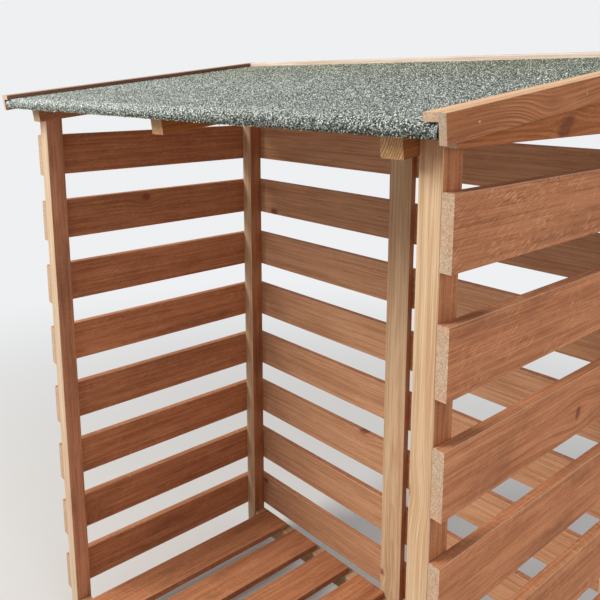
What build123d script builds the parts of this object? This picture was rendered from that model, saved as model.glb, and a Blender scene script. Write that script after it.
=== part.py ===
from build123d import *
import math
import os

# Lean-to log store: an open-fronted timber rack under a roof that falls to the front.
# Millimetres. X runs along the front, +Y to the back, +Z up.
# The origin is on the ground, at the centre of the roof's plan.

# Frame
frame_length = 1050.0        # over the outer faces of the corner posts
frame_depth = 570.0          # over the front and back faces of the corner posts
front_height = 1270.0        # ground to the deck's underside, at the front posts' front faces
post_width = 32.0            # along X
post_depth = 35.0            # along Y

# Slatted walls
board_thickness = 16.0
board_height = 86.0
nominal_gap = 57.0           # gap between two wall boards, before they are spread evenly
rail_front_height = 21.0     # the tapered top rail, at the front posts
rail_gap = 46.0              # from the top rail down to the first board
back_batten_width = 60.0     # upright batten behind the middle of the bay

# Floor
floor_height = 116.0         # ground to the top of the slats, level with the lowest boards
floor_beam_width = 32.0
floor_beam_height = 45.0
nominal_slat_gap = 34.0

# Roof
slope = 6.8                  # degrees, falling to the front
side_overhang = 45.0         # from a post's outer face to the barge board's outer face
eaves_overhang = 56.0        # from the front posts to the felt's front edge
rear_overhang = 12.0         # from the back boards to the roof's rear edge
deck_thickness = 12.0
deck_boards = 5
nose_radius = 6.0            # rounding of the front deck board, under the felt
tongue_length = 5.0
tongue_thickness = 4.0
joint_clearance = 0.3        # between a tongue and its groove
joint_bevel = 1.5            # V joint seen from below
felt_thickness = 3.0
felt_drip = 14.0             # how far the felt's front edge hangs below the deck's top
barge_thickness = 9.0
barge_height = 31.0
trim_width = 18.0            # the battens that lie on the felt
trim_height = 9.0
bearer_width = 32.0
bearer_height = 32.0
bearer_projection = 28.0     # in front of the posts

# Finish
arris = 1.0                  # eased long edges of sawn timber
trim_arris = 0.6

# Places worked out from the sizes above
slope_sin = math.sin(math.radians(slope))
slope_cos = math.cos(math.radians(slope))
slope_tan = math.tan(math.radians(slope))
trim_top = deck_thickness + felt_thickness + trim_height
barge_foot = trim_top - barge_height
roof_front = -eaves_overhang
roof_rear = (frame_depth + board_thickness + rear_overhang) / slope_cos
post_front = -((roof_front + roof_rear) * slope_cos - (trim_top + barge_foot) * slope_sin) / 2
post_rear = post_front + frame_depth
inner_half = frame_length / 2 - post_width
outer_half = frame_length / 2 + board_thickness
barge_inner = frame_length / 2 + side_overhang - barge_thickness
first_board_top = front_height - rail_front_height - rail_gap
wall_height = first_board_top - floor_height
board_count = max(2, round((wall_height + nominal_gap) / (board_height + nominal_gap)))
board_pitch = (wall_height - board_height) / (board_count - 1)
beam_top = floor_height - board_thickness
roof_plane = Plane(origin=(0, post_front, front_height), x_dir=(1, 0, 0), z_dir=(0, -slope_sin, slope_cos))


def underside(y: float, drop: float = 0.0) -> float:
    """Height of the deck's underside at y, less a drop measured square to the roof."""
    return front_height + (y - post_front) * slope_tan - drop / slope_cos


def along_edges(solid, axis: Axis, size: float):
    """Ease the long edges of a board that runs along one axis."""
    return chamfer(solid.edges().filter_by(axis), size)


def block(x: tuple, y: tuple, z: tuple):
    """A plain block between two places on each axis."""
    size = (x[1] - x[0], y[1] - y[0], z[1] - z[0])
    centre = ((x[0] + x[1]) / 2, (y[0] + y[1]) / 2, (z[0] + z[1]) / 2)
    return Pos(*centre) * Box(*size)


def side_profile(points: list, x_low: float, x_high: float):
    """A board cut to an outline in the Y-Z plane, between two places along X."""
    outline = make_face(Polyline(*[(0, y, z) for y, z in points], close=True))
    return Pos(x_low, 0, 0) * extrude(outline, amount=x_high - x_low, dir=(1, 0, 0))


def place(solid, side: int):
    """Keep a piece of the right side as it is, or mirror it to the left."""
    return solid if side > 0 else mirror(solid, about=Plane.YZ)


def make_post(y_low: float):
    """Right-hand corner post, its top cut to the roof's fall."""
    y_high = y_low + post_depth
    outline = [(y_low, 0), (y_high, 0), (y_high, underside(y_high)), (y_low, underside(y_low))]
    post = side_profile(outline, inner_half, frame_length / 2)
    return along_edges(post, Axis.Z, arris)


def make_side_board(index: int):
    """Right-hand wall board, nailed outside the posts with its ends flush with them."""
    top = first_board_top - index * board_pitch
    board = block((frame_length / 2, outer_half), (post_front, post_rear), (top - board_height, top))
    return along_edges(board, Axis.Y, arris)


def make_side_rail():
    """Right-hand top rail: a board ripped to the roof's fall, widest at the back."""
    low = front_height - rail_front_height
    outline = [(post_front, low), (post_rear, low), (post_rear, underside(post_rear)),
               (post_front, underside(post_front))]
    rail = side_profile(outline, frame_length / 2, outer_half)
    return chamfer(rail.edges().filter_by(Axis.Y), arris)


def make_back_boards():
    """The back wall's boards, level with those of the sides and over their ends."""
    boards = []
    for index in range(board_count):
        top = first_board_top - index * board_pitch
        board = block((-outer_half, outer_half), (post_rear, post_rear + board_thickness),
                      (top - board_height, top))
        boards.append(along_edges(board, Axis.X, arris))
    return Compound(boards)


def make_back_rail():
    """Top board of the back wall, bevelled to meet the deck."""
    low = front_height - rail_front_height
    back = post_rear + board_thickness
    outline = [(post_rear, low), (back, low), (back, underside(back)), (post_rear, underside(post_rear))]
    rail = side_profile(outline, -outer_half, outer_half)
    return chamfer(rail.edges().filter_by(Axis.X).sort_by(Axis.Z)[:2], arris)


def make_back_batten():
    """Upright batten that the back boards are nailed to at mid-length."""
    front = post_rear - board_thickness
    outline = [(front, beam_top), (post_rear, beam_top), (post_rear, underside(post_rear, bearer_height)),
               (front, underside(front, bearer_height))]
    batten = side_profile(outline, -back_batten_width / 2, back_batten_width / 2)
    return along_edges(batten, Axis.Z, arris)


def make_bearer(x_centre: float):
    """Roof bearer under the deck: square front end before the posts, upright cut at the back."""
    front_top = (post_front - bearer_projection * slope_cos, front_height - bearer_projection * slope_sin)
    front_low = (front_top[0] + bearer_height * slope_sin, front_top[1] - bearer_height * slope_cos)
    outline = [front_top, front_low, (post_rear, underside(post_rear, bearer_height)),
               (post_rear, underside(post_rear))]
    bearer = side_profile(outline, x_centre - bearer_width / 2, x_centre + bearer_width / 2)
    low_edges = bearer.edges().filter_by(lambda e: e.length > frame_depth / 2).sort_by(Axis.Z)[:2]
    return chamfer(low_edges, arris)


def make_deck_board(index: int):
    """Tongued and grooved deck board along the roof, with a V joint below and a rounded nose in front."""
    first = index == 0
    last = index == deck_boards - 1
    width = (roof_rear - roof_front - felt_thickness) / deck_boards
    start = roof_front + felt_thickness + index * width
    end = start + width
    middle = deck_thickness / 2
    half_tongue = tongue_thickness / 2
    half_groove = half_tongue + joint_clearance
    if first:
        points = [(start, 0), (start, deck_thickness)]
    else:
        points = [(start, joint_bevel), (start, middle - half_groove),
                  (start + tongue_length + joint_clearance, middle - half_groove),
                  (start + tongue_length + joint_clearance, middle + half_groove),
                  (start, middle + half_groove), (start, deck_thickness)]
    if last:
        points += [(end, deck_thickness), (end, 0)]
    else:
        points += [(end, deck_thickness), (end, middle + half_tongue), (end + tongue_length, middle + half_tongue),
                   (end + tongue_length, middle - half_tongue), (end, middle - half_tongue),
                   (end, joint_bevel), (end - joint_bevel, 0)]
    if not first:
        points.append((start + joint_bevel, 0))
    board = side_profile(points, -barge_inner, barge_inner)
    if first:
        nose = board.edges().filter_by(Axis.X).sort_by(Axis.Y)[:2].sort_by(Axis.Z)[-1]
        board = fillet(nose, nose_radius)
    return roof_plane * board


def make_felt():
    """Mineral felt over the deck, turned down round the nose to a drip edge."""
    top = deck_thickness + felt_thickness
    inner = roof_front + felt_thickness
    drip = top - felt_thickness - felt_drip
    outer_radius = nose_radius + felt_thickness
    skin = make_face(Polyline(*[(0, y, z) for y, z in [
        (roof_front, drip), (roof_front, top), (roof_rear, top), (roof_rear, deck_thickness),
        (inner, deck_thickness), (inner, drip)]], close=True))
    felt = Pos(-barge_inner, 0, 0) * extrude(skin, amount=2 * barge_inner, dir=(1, 0, 0))
    long_edges = felt.edges().filter_by(Axis.X)
    outer = long_edges.sort_by_distance((0, roof_front, top))[0]
    felt = fillet(outer, outer_radius)
    inner_bend = felt.edges().filter_by(Axis.X).sort_by_distance((0, inner, deck_thickness))[0]
    felt = fillet(inner_bend, nose_radius)
    return roof_plane * felt


def make_barge_board():
    """Right-hand barge board over the deck's ends, its foot below the deck."""
    board = block((barge_inner, barge_inner + barge_thickness), (roof_front, roof_rear), (barge_foot, trim_top))
    return roof_plane * along_edges(board, Axis.Y, trim_arris)


def make_barge_batten():
    """Right-hand batten that clamps the felt along the barge board."""
    felt_top = deck_thickness + felt_thickness
    batten = block((barge_inner - trim_width, barge_inner), (roof_front, roof_rear), (felt_top, trim_top))
    return roof_plane * along_edges(batten, Axis.Y, trim_arris)


def make_rear_batten():
    """Batten that clamps the felt along the rear edge, between the side battens."""
    felt_top = deck_thickness + felt_thickness
    half = barge_inner - trim_width
    batten = block((-half, half), (roof_rear - trim_width, roof_rear), (felt_top, trim_top))
    return roof_plane * along_edges(batten, Axis.X, trim_arris)


def make_floor_beam(y_low: float):
    """Cross beam between two posts that carries the slats' ends."""
    beam = block((-inner_half, inner_half), (y_low, y_low + floor_beam_width),
                 (beam_top - floor_beam_height, beam_top))
    return along_edges(beam, Axis.X, arris)


def make_floor_slats():
    """Slats from the front beam to the rear one, evenly spread between the posts."""
    count = max(2, round((2 * inner_half - nominal_slat_gap) / (board_height + nominal_slat_gap)))
    gap = (2 * inner_half - count * board_height) / (count + 1)
    slats = []
    for index in range(count):
        left = -inner_half + gap + index * (board_height + gap)
        slat = block((left, left + board_height), (post_front, post_rear - board_thickness),
                     (beam_top, floor_height))
        slats.append(along_edges(slat, Axis.Y, arris))
    return Compound(slats)


def build_parts() -> dict:
    """Every piece of the store under its node name."""
    parts = {}
    for name, side in (("left", -1), ("right", 1)):
        parts[f"post_front_{name}"] = place(make_post(post_front), side)
        parts[f"post_rear_{name}"] = place(make_post(post_rear - post_depth), side)
        parts[f"side_rail_{name}"] = place(make_side_rail(), side)
        for index in range(board_count):
            parts[f"side_board_{name}_{index + 1}"] = place(make_side_board(index), side)
        parts[f"roof_bearer_{name}"] = make_bearer(side * (inner_half - bearer_width / 2))
        parts[f"barge_board_{name}"] = place(make_barge_board(), side)
        parts[f"barge_batten_{name}"] = place(make_barge_batten(), side)
    parts["back_boards"] = make_back_boards()
    parts["back_rail"] = make_back_rail()
    parts["back_batten"] = make_back_batten()
    parts["roof_bearer_middle"] = make_bearer(0.0)
    for index in range(deck_boards):
        parts[f"deck_board_{index + 1}"] = make_deck_board(index)
    parts["roof_felt"] = make_felt()
    parts["rear_batten"] = make_rear_batten()
    parts["floor_beam_front"] = make_floor_beam(post_front)
    parts["floor_beam_rear"] = make_floor_beam(post_rear - floor_beam_width)
    parts["floor_slats"] = make_floor_slats()
    return parts


os.makedirs("parts", exist_ok=True)
for node, shape in build_parts().items():
    export_step(shape, f"parts/{node}.step")
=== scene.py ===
import logging
import math
import random
from dataclasses import dataclass, field, replace
from enum import Enum
from typing import Optional, Union

import bmesh
import bpy
from mathutils import Matrix, Vector, noise


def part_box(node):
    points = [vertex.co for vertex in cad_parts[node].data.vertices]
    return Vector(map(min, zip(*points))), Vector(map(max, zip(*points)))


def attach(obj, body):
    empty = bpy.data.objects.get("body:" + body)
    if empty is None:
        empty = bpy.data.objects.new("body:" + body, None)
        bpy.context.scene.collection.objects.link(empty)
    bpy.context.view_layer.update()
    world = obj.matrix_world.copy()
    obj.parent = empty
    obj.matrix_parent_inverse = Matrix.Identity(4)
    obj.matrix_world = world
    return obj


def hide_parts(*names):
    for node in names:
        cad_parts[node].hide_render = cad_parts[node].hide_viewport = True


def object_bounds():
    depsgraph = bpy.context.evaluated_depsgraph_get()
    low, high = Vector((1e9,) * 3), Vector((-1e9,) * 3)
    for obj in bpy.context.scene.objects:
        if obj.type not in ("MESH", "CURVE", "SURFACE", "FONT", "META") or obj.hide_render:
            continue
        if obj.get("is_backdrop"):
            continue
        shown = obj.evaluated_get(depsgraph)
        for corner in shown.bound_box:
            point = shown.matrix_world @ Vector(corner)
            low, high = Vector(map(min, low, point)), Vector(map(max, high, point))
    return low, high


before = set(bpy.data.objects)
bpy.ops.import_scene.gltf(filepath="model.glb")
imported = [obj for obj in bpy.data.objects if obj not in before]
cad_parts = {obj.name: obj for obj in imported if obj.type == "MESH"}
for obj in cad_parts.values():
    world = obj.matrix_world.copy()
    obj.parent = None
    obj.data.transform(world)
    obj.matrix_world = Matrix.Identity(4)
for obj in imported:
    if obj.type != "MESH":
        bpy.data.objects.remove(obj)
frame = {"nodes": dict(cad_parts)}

logging.basicConfig(level=logging.INFO, format="%(message)s")
log = logging.getLogger("log_store")

Colour = tuple[float, float, float]
Point = tuple[float, float, float]
Span = tuple[float, float]
Socket = bpy.types.NodeSocket
Place = tuple[Socket, Socket, Socket]
Feed = Union[Socket, float, int, bool, str, tuple, Vector]

ROOF_FALL = math.radians(6.8)
UP_THE_ROOF = (0.0, math.cos(ROOF_FALL), math.sin(ROOF_FALL))
OFF_THE_ROOF = (0.0, -math.sin(ROOF_FALL), math.cos(ROOF_FALL))
FAR_AWAY = 9.0
TINY = 0.0001


class Lie(Enum):
    """How a piece of timber lies: along its grain, across its face, through its thickness."""

    UPRIGHT = ((0, 0, 1), (1, 0, 0), (0, 1, 0))
    SIDE_WALL = ((0, 1, 0), (0, 0, 1), (1, 0, 0))
    BACK_WALL = ((1, 0, 0), (0, 0, 1), (0, -1, 0))
    FLOOR = ((0, 1, 0), (1, 0, 0), (0, 0, -1))
    ROOF_LENGTH = ((1, 0, 0), UP_THE_ROOF, OFF_THE_ROOF)
    ROOF_EDGE = (UP_THE_ROOF, OFF_THE_ROOF, (1, 0, 0))
    ROOF_FLAT = (UP_THE_ROOF, (-1, 0, 0), OFF_THE_ROOF)

    def turn(self) -> Matrix:
        """Matrix that takes object coordinates to (along, across, through)."""
        return Matrix(self.value)


class Facing(Enum):
    """Which way a set of nails looks, as the turn of a head that starts facing +Z."""

    RIGHT = (0.0, math.pi / 2, 0.0)
    LEFT = (0.0, -math.pi / 2, 0.0)
    BACK = (-math.pi / 2, 0.0, 0.0)
    UP = (0.0, 0.0, 0.0)


class Plug(Enum):
    """What a socket of a node group carries, with Blender's own name for it."""

    NUMBER = "NodeSocketFloat"
    WHOLE = "NodeSocketInt"
    VECTOR = "NodeSocketVector"
    COLOUR = "NodeSocketColor"
    SHAPE = "NodeSocketGeometry"
    MATERIAL = "NodeSocketMaterial"


class MixSocket(Enum):
    """Where a Mix node that mixes colours has its sockets."""

    FACTOR = 0
    FIRST = 6
    SECOND = 7
    RESULT = 2


@dataclass(frozen=True)
class TimberFinish:
    """One way that the store's pine looks.

    Attributes:
        early, late: the pale and the dark wood of a year's ring.
        end_grain, sunlit, knot: sawn ends, the painted sunlight on front and top faces, and knots.
        ring_spacing: width of a ring in metres.
        ring_strength, end_rings: how clearly the rings show on long faces and on ends.
        sun_share, top_sun: how much painted sunlight the front faces get, and the top faces by comparison.
        eaves_shadow: how far down from its top a post gets a painted shadow of the roof, in metres.
        sawing, knots: how strong the saw marks are, and how large the knots grow.
        roughness: roughness of the surface.
    """

    early: Colour
    late: Colour
    end_grain: Colour
    sunlit: Colour
    knot: Colour = (0.20, 0.060, 0.029)
    ring_spacing: float = 0.0032
    ring_strength: float = 0.35
    sun_share: float = 0.6
    top_sun: float = 1.0
    eaves_shadow: float = 0.0
    end_rings: float = 0.5
    sawing: float = 0.5
    knots: float = 1.0
    roughness: float = 0.8


@dataclass(frozen=True)
class Mark:
    """A knot, or a bend in the rings, at a chosen place on a board's broad face.

    Attributes:
        along, across: its place, in metres from the board's middle.
        turn, long, short: how the knot's oval is turned, and half its length and width.
        reach, pull, swerve: how far it bends the rings, how much, and how far the grain parts for it.
        bold, bold_along, bold_length: how bold the rings are beside it, where, and over what length.
        pith_across: where the pith lies across the board, or None to leave that to chance.
        sawn: how strong the board's saw marks are beside those of its finish.
        clear: whether the board has no knots by chance.
    """

    along: float = FAR_AWAY
    across: float = FAR_AWAY
    turn: float = 0.0
    long: float = TINY
    short: float = TINY
    reach: float = 0.03
    pull: float = 0.0
    swerve: float = 0.0
    bold: float = 0.0
    bold_along: float = 0.0
    bold_length: float = 0.05
    pith_across: Optional[float] = None
    sawn: float = 1.0
    clear: bool = False


@dataclass(frozen=True)
class FeltFinish:
    """Mineral felt: bitumen under green-grey granules."""

    bitumen: Colour = (0.022, 0.026, 0.024)
    dark: Colour = (0.022, 0.030, 0.025)
    middle: Colour = (0.160, 0.202, 0.172)
    pale: Colour = (0.53, 0.585, 0.53)
    bright: Colour = (0.93, 0.95, 0.92)
    # end_reflection: a painted reflection of the sky, pale and bluish, on the felt's cut ends.
    end_reflection: Colour = (0.58, 0.63, 0.70)
    foot_tint: Colour = (1.0, 1.0, 0.82)
    # Darker and yellower towards the rear.
    rear_tint: Colour = (0.75, 0.74, 0.60)
    granule: float = 0.0021
    roughness: float = 0.72
    stone_roughness: float = 0.5


@dataclass(frozen=True)
class NailFinish:
    """Small wire nails, dulled and slightly rusty."""

    metal: Colour = (0.62, 0.40, 0.23)
    rust: Colour = (0.30, 0.125, 0.045)
    roughness: float = 0.62
    rust_roughness: float = 0.4


# Each finish's sunlit colour is painted sunlight on its front and top faces.
FRAME_TIMBER = TimberFinish(
    early=(0.425, 0.165, 0.066), late=(0.25, 0.080, 0.029), end_grain=(0.46, 0.29, 0.16),
    sunlit=(0.61, 0.435, 0.278), sun_share=1.0, sawing=0.15, knots=0.6, ring_strength=0.55, end_rings=0.6)
# Posts get a painted shadow of the eaves near their tops.
POST_TIMBER = replace(FRAME_TIMBER, eaves_shadow=0.075)
# Copy for the store's left side, whose colours paint the light and shade that fall on that side.
LEFT_LIGHTING_POST_TIMBER = replace(
    POST_TIMBER, early=(0.52, 0.230, 0.118), late=(0.32, 0.122, 0.058), sunlit=(0.61, 0.485, 0.355))
BEARER_TIMBER = TimberFinish(
    early=(0.37, 0.128, 0.027), late=(0.205, 0.058, 0.010), end_grain=(0.60, 0.365, 0.175),
    sunlit=(0.56, 0.37, 0.21), sun_share=0.9, sawing=0.2, knots=0.5, ring_strength=0.9,
    ring_spacing=0.0036, end_rings=2.2)
# Copy for the store's left side, whose colours paint the light and shade that fall on that side.
LEFT_LIGHTING_BEARER_TIMBER = replace(
    BEARER_TIMBER, early=(0.53, 0.240, 0.112), late=(0.32, 0.122, 0.052), end_grain=(0.66, 0.48, 0.32),
    sunlit=(0.60, 0.45, 0.31))
BOARD_TIMBER = TimberFinish(
    early=(0.515, 0.203, 0.087), late=(0.30, 0.100, 0.038), end_grain=(0.51, 0.368, 0.252),
    sunlit=(0.58, 0.39, 0.245), sun_share=0.5, top_sun=0.2, sawing=0.55, ring_strength=0.3, end_rings=0.35)
RAIL_TIMBER = TimberFinish(
    early=(0.41, 0.137, 0.041), late=(0.215, 0.060, 0.015), end_grain=(0.53, 0.375, 0.255),
    sunlit=(0.58, 0.39, 0.245), sun_share=0.5, top_sun=0.2, knot=(0.190, 0.046, 0.014), sawing=0.35,
    ring_strength=0.6, end_rings=0.35)
DECK_TIMBER = TimberFinish(
    early=(0.40, 0.18, 0.090), late=(0.26, 0.10, 0.042), end_grain=(0.48, 0.33, 0.20),
    sunlit=(0.5, 0.34, 0.21), sun_share=0.2, sawing=0.3)
TRIM_TIMBER = TimberFinish(
    early=(0.425, 0.162, 0.062), late=(0.235, 0.074, 0.026), end_grain=(0.415, 0.322, 0.236),
    sunlit=(0.76, 0.50, 0.31), sun_share=1.0, sawing=0.08, ring_spacing=0.0026, knots=0.5,
    ring_strength=0.8, end_rings=0.25)
# Copy for the store's left side, whose colours paint the light and shade that fall on that side.
LEFT_LIGHTING_TRIM_TIMBER = replace(
    TRIM_TIMBER, end_grain=(0.56, 0.46, 0.37), sunlit=(0.60, 0.44, 0.33), top_sun=0.45)
# Dark early and late colours: painted shade on the battens' sides.
BATTEN_TIMBER = TimberFinish(
    early=(0.21, 0.095, 0.055), late=(0.13, 0.052, 0.028), end_grain=(0.56, 0.385, 0.26),
    sunlit=(0.76, 0.50, 0.31), sun_share=1.0, sawing=0.08, knots=0.3, end_rings=0.2)
# Copy for the store's left side, whose colours paint the light and shade that fall on that side.
LEFT_LIGHTING_BATTEN_TIMBER = replace(
    BATTEN_TIMBER, end_grain=(0.60, 0.47, 0.37), sunlit=(0.60, 0.44, 0.33), top_sun=0.55)
# Pale colours: painted sunlight on the rear batten's front.
REAR_TIMBER = TimberFinish(
    early=(0.43, 0.31, 0.22), late=(0.31, 0.19, 0.12), end_grain=(0.50, 0.40, 0.30),
    sunlit=(0.80, 0.69, 0.61), sun_share=1.0, sawing=0.2, knots=0.3)

MARKS = {
    "side_rail_right": Mark(along=-0.0665, across=-0.0315, turn=0.54, long=0.0195, short=0.0104, reach=0.024,
                            pull=0.001, swerve=0.85, clear=True),
    "side_board_right_1": Mark(clear=True, sawn=1.8),
    "side_board_right_2": Mark(clear=True),
    "side_board_right_3": Mark(along=0.020, across=-0.010, turn=1.2, long=0.010, short=0.006, reach=0.03,
                               pull=0.002, swerve=0.8, sawn=0.6, clear=True),
    "side_board_right_4": Mark(clear=True, sawn=0.6),
    "barge_board_right": Mark(along=-0.137, across=-0.018, reach=0.034, pull=0.0155, bold=0.8,
                              bold_along=-0.203, bold_length=0.040, pith_across=-0.06, clear=True),
    "barge_board_left": Mark(along=0.110, across=-0.010, reach=0.030, pull=-0.007, bold=0.6,
                             bold_along=0.06, bold_length=0.05, pith_across=-0.05),
}


class Wires:
    """Adds nodes to one tree and joins them up."""

    def __init__(self, tree: bpy.types.NodeTree) -> None:
        """Start with the shader or geometry tree that the nodes go into."""
        self.tree = tree

    def add(self, kind: str, inputs: Optional[dict[Union[str, int], Feed]] = None,
            **settings: object) -> bpy.types.Node:
        """Add one node.

        Args:
            kind: Blender's name of the node type.
            inputs: what its inputs are fed with, by their names or numbers.
            settings: properties set on the node before that.

        Returns:
            The node.
        """
        node = self.tree.nodes.new(kind)
        for name, value in settings.items():
            setattr(node, name, value)
        for key, value in (inputs or {}).items():
            self.feed(node.inputs[key], value)
        return node

    def feed(self, socket: Socket, value: Feed) -> None:
        """Join a socket to another one, or give it a plain value.

        Args:
            socket: the input that is fed.
            value: an output socket, or a value for the input.
        """
        if isinstance(value, bpy.types.NodeSocket):
            self.tree.links.new(value, socket)
        elif socket.type == "RGBA":
            socket.default_value = (*value, 1.0)
        else:
            socket.default_value = value

    def work(self, operation: str, *numbers: Feed, clamp: bool = False) -> Socket:
        """Work out one number from up to three.

        Args:
            operation: the Math node's operation.
            numbers: its inputs.
            clamp: whether the result is held between 0 and 1.

        Returns:
            The result.
        """
        node = self.add("ShaderNodeMath", dict(enumerate(numbers)), operation=operation, use_clamp=clamp)
        return node.outputs[0]

    def plus(self, first: Feed, second: Feed, clamp: bool = False) -> Socket:
        """Add two numbers."""
        return self.work("ADD", first, second, clamp=clamp)

    def minus(self, first: Feed, second: Feed, clamp: bool = False) -> Socket:
        """Take the second number from the first."""
        return self.work("SUBTRACT", first, second, clamp=clamp)

    def times(self, first: Feed, second: Feed, clamp: bool = False) -> Socket:
        """Multiply two numbers."""
        return self.work("MULTIPLY", first, second, clamp=clamp)

    def scaled(self, value: Feed, scale: Feed, base: Feed) -> Socket:
        """Scale a number and add a base to it."""
        return self.work("MULTIPLY_ADD", value, scale, base)

    def left_over(self, value: Feed) -> Socket:
        """What a number lacks to one."""
        return self.work("SUBTRACT", 1.0, value)

    def squared(self, value: Feed) -> Socket:
        """Square a number."""
        return self.work("POWER", value, 2.0)

    def fading(self, value: Feed) -> Socket:
        """One where a number is nought, and less and less where it is larger."""
        return self.work("EXPONENT", self.times(value, -1.0))

    def ramp(self, value: Feed, low: Feed, high: Feed, out_low: Feed = 0.0, out_high: Feed = 1.0,
             smooth: bool = True) -> Socket:
        """Stretch a value from one range to another.

        Args:
            value: the value to stretch.
            low, high: the range it comes in.
            out_low, out_high: the range it leaves in.
            smooth: whether it eases in and out.

        Returns:
            The stretched value, held inside its range.
        """
        numbers = dict(enumerate((value, low, high, out_low, out_high)))
        kind = "SMOOTHSTEP" if smooth else "LINEAR"
        return self.add("ShaderNodeMapRange", numbers, interpolation_type=kind, clamp=True).outputs[0]

    def mix(self, factor: Feed, first: Feed, second: Feed, blend: str = "MIX", clamp: bool = False) -> Socket:
        """Mix two colours.

        Args:
            factor: how much of the second colour shows.
            first, second: the colours.
            blend: the Mix node's way of blending.
            clamp: whether the result is held between 0 and 1.

        Returns:
            The mixed colour.
        """
        feeds = {MixSocket.FACTOR.value: factor, MixSocket.FIRST.value: first, MixSocket.SECOND.value: second}
        node = self.add("ShaderNodeMix", feeds, data_type="RGBA", blend_type=blend, clamp_result=clamp)
        return node.outputs[MixSocket.RESULT.value]

    def tinted(self, colour: Feed, tint: Feed, clamp: bool = False) -> Socket:
        """Multiply a colour by a tint."""
        return self.mix(1.0, colour, tint, blend="MULTIPLY", clamp=clamp)

    def cover(self, base: Feed, over: Feed, mask: Feed, low: float, high: float, most: Feed = 1.0) -> Socket:
        """Lay one colour over another by a mask.

        Args:
            base, over: the lower and the upper colour.
            mask: the mask.
            low, high: its values where the upper colour starts to show and where it shows most.
            most: how much of the upper colour shows there.

        Returns:
            The mixed colour.
        """
        return self.mix(self.ramp(mask, low, high, 0.0, most), base, over)

    def vector(self, x: Feed, y: Feed, z: Feed) -> Socket:
        """Join three numbers into a vector."""
        return self.add("ShaderNodeCombineXYZ", {0: x, 1: y, 2: z}).outputs[0]

    def parts(self, vector: Socket) -> Place:
        """Take a vector apart."""
        return tuple(self.add("ShaderNodeSeparateXYZ", {0: vector}).outputs)

    def dot(self, first: Feed, second: Feed) -> Socket:
        """How far the first vector goes along the second."""
        node = self.add("ShaderNodeVectorMath", {0: first, 1: second}, operation="DOT_PRODUCT")
        return node.outputs["Value"]

    def turned(self, vector: Socket, angle: Feed) -> Place:
        """Turn a vector about its third direction and take it apart."""
        node = self.add("ShaderNodeVectorRotate", {"Vector": vector, "Angle": angle}, rotation_type="Z_AXIS")
        return self.parts(node.outputs[0])

    def blur(self, vector: Socket, scale: float = 1.0, detail: float = 2.0, roughness: float = 0.5) -> Socket:
        """Smooth noise.

        Args:
            vector: where it is read.
            scale: how fine it is.
            detail: how many finer layers it has.
            roughness: how strong the finer layers are.

        Returns:
            A value around 0.5.
        """
        feeds = {"Vector": vector, "Scale": scale, "Detail": detail, "Roughness": roughness}
        return self.add("ShaderNodeTexNoise", feeds, noise_dimensions="3D").outputs[0]

    def bump(self, height: Socket, strength: float, distance: float) -> Socket:
        """Turn heights into a surface direction.

        Args:
            height: the heights.
            strength: how strongly they show.
            distance: metres for a height of one.

        Returns:
            The direction, for a shader.
        """
        feeds = {"Height": height, "Strength": strength, "Distance": distance}
        return self.add("ShaderNodeBump", feeds).outputs[0]


class Group(Wires):
    """A node group in the making, with named inputs and outputs."""

    def __init__(self, name: str, inputs: dict[Plug, tuple[str, ...]], outputs: dict[Plug, tuple[str, ...]],
                 kind: str = "ShaderNodeTree") -> None:
        """Start a group.

        Args:
            name: its name.
            inputs, outputs: names of its sockets, by what they carry.
            kind: the kind of tree.
        """
        super().__init__(bpy.data.node_groups.new(name, kind))
        for way, plugs in (("INPUT", inputs), ("OUTPUT", outputs)):
            for plug, labels in plugs.items():
                for label in labels:
                    self.tree.interface.new_socket(name=label, in_out=way, socket_type=plug.value)
        self.given = self.add("NodeGroupInput").outputs
        self.results = self.add("NodeGroupOutput").inputs

    def finish(self, values: dict[str, Socket]) -> bpy.types.NodeTree:
        """Feed the group's outputs.

        Args:
            values: what each output gives.

        Returns:
            The finished group.
        """
        for label, value in values.items():
            self.feed(self.results[label], value)
        return self.tree

    def finish_shape(self, label: str, shape: Socket) -> bpy.types.NodeTree:
        """Make a geometry tree's instances real, give them its Finish input, and end the tree.

        Args:
            label: name of the output.
            shape: the instances.

        Returns:
            The finished tree.
        """
        real = self.add("GeometryNodeRealizeInstances", {0: shape})
        painted = self.add("GeometryNodeSetMaterial",
                           {"Geometry": real.outputs[0], "Material": self.given["Finish"]})
        return self.finish({label: painted.outputs[0]})


def start_material(name: str) -> tuple[bpy.types.Material, Wires, bpy.types.Node]:
    """Start a material.

    Args:
        name: its name.

    Returns:
        The material, its wires and its main shader.
    """
    material = bpy.data.materials.new(name)
    material.use_nodes = True
    return material, Wires(material.node_tree), material.node_tree.nodes["Principled BSDF"]


def add_object(name: str, data: bpy.types.ID) -> bpy.types.Object:
    """Put a mesh, a camera or a lamp into the scene.

    Args:
        name: name of its object.
        data: what it is.

    Returns:
        The object, at the origin.
    """
    thing = bpy.data.objects.new(name, data)
    bpy.context.scene.collection.objects.link(thing)
    return thing


def finish_mesh(name: str, mesh: bmesh.types.BMesh) -> bpy.types.Object:
    """Turn a mesh in the making into an object in the scene.

    Args:
        name: name of the object.
        mesh: the mesh, which is freed.

    Returns:
        The object, at the origin.
    """
    data = bpy.data.meshes.new(name)
    mesh.to_mesh(data)
    mesh.free()
    return add_object(name, data)


def modified_mesh(thing: bpy.types.Object) -> bpy.types.Mesh:
    """The plain mesh that an object's modifiers make."""
    bpy.context.view_layer.update()
    return bpy.data.meshes.new_from_object(thing.evaluated_get(bpy.context.evaluated_depsgraph_get()))


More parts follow.
